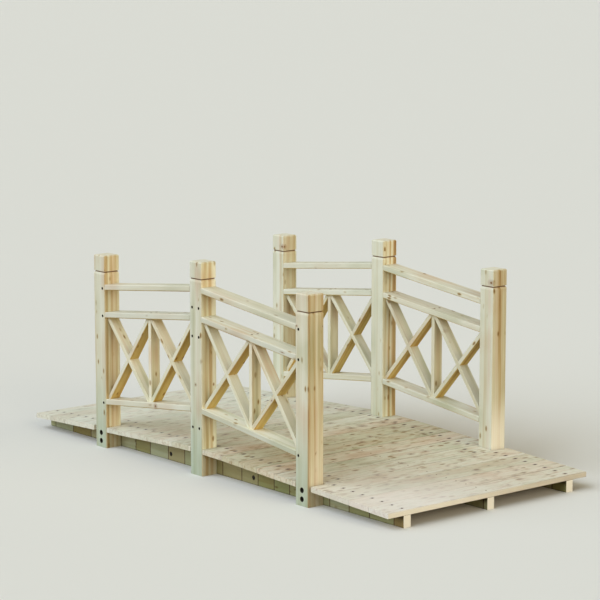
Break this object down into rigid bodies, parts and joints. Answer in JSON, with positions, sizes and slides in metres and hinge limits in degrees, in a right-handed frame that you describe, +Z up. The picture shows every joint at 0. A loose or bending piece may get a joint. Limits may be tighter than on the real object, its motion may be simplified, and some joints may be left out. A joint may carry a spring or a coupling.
{
  "type": "small arched wooden garden footbridge",
  "caption": "Low arched softwood footbridge with a planked deck and sloping lattice railings on both sides.",
  "frame": {"origin": "on the ground under the middle of the bridge", "axes": "+X along the walkway, +Y across it towards the far railing, +Z up"},
  "size_m": [1.5242, 0.686, 0.571],
  "materials": {
    "posts": "planed softwood, pale cream with a faint green cast, eased edges",
    "rails": "planed softwood, pale cream with fine grain along the board",
    "lattice": "thin planed softwood slats, a little warmer on the shaded faces",
    "deck": "planed softwood planks with small brown knots and dark nail heads",
    "stringers": "sawn softwood board on edge, greener and darker near the ground"
  },
  "bodies": {
    "root": {"post_near_middle": "posts", "stringer_near": "stringers", "post_near_left": "posts", "lattice_upright_near_left": "lattice", "top_rail_near_left": "rails", "middle_rail_near_left": "rails", "bottom_rail_near_left": "rails", "rising_slat_near_left_inner": "lattice", "falling_slat_near_left_inner": "lattice", "rising_slat_near_left_outer": "lattice", "falling_slat_near_left_outer": "lattice", "post_near_right": "posts", "lattice_upright_near_right": "lattice", "top_rail_near_right": "rails", "middle_rail_near_right": "rails", "bottom_rail_near_right": "rails", "rising_slat_near_right_inner": "lattice", "falling_slat_near_right_inner": "lattice", "rising_slat_near_right_outer": "lattice", "falling_slat_near_right_outer": "lattice", "post_far_middle": "posts", "stringer_far": "stringers", "post_far_left": "posts", "lattice_upright_far_left": "lattice", "top_rail_far_left": "rails", "middle_rail_far_left": "rails", "bottom_rail_far_left": "rails", "rising_slat_far_left_inner": "lattice", "falling_slat_far_left_inner": "lattice", "rising_slat_far_left_outer": "lattice", "falling_slat_far_left_outer": "lattice", "post_far_right": "posts", "lattice_upright_far_right": "lattice", "top_rail_far_right": "rails", "middle_rail_far_right": "rails", "bottom_rail_far_right": "rails", "rising_slat_far_right_inner": "lattice", "falling_slat_far_right_inner": "lattice", "rising_slat_far_right_outer": "lattice", "falling_slat_far_right_outer": "lattice", "stringer_middle": "stringers", "cross_brace_left": "stringers", "cross_brace_right": "stringers", "deck_planks_1": "deck", "deck_planks_2": "deck", "deck_planks_3": "deck", "deck_planks_4": "deck", "deck_planks_5": "deck", "deck_planks_6": "deck", "deck_planks_7": "deck"}
  },
  "joints": []
}
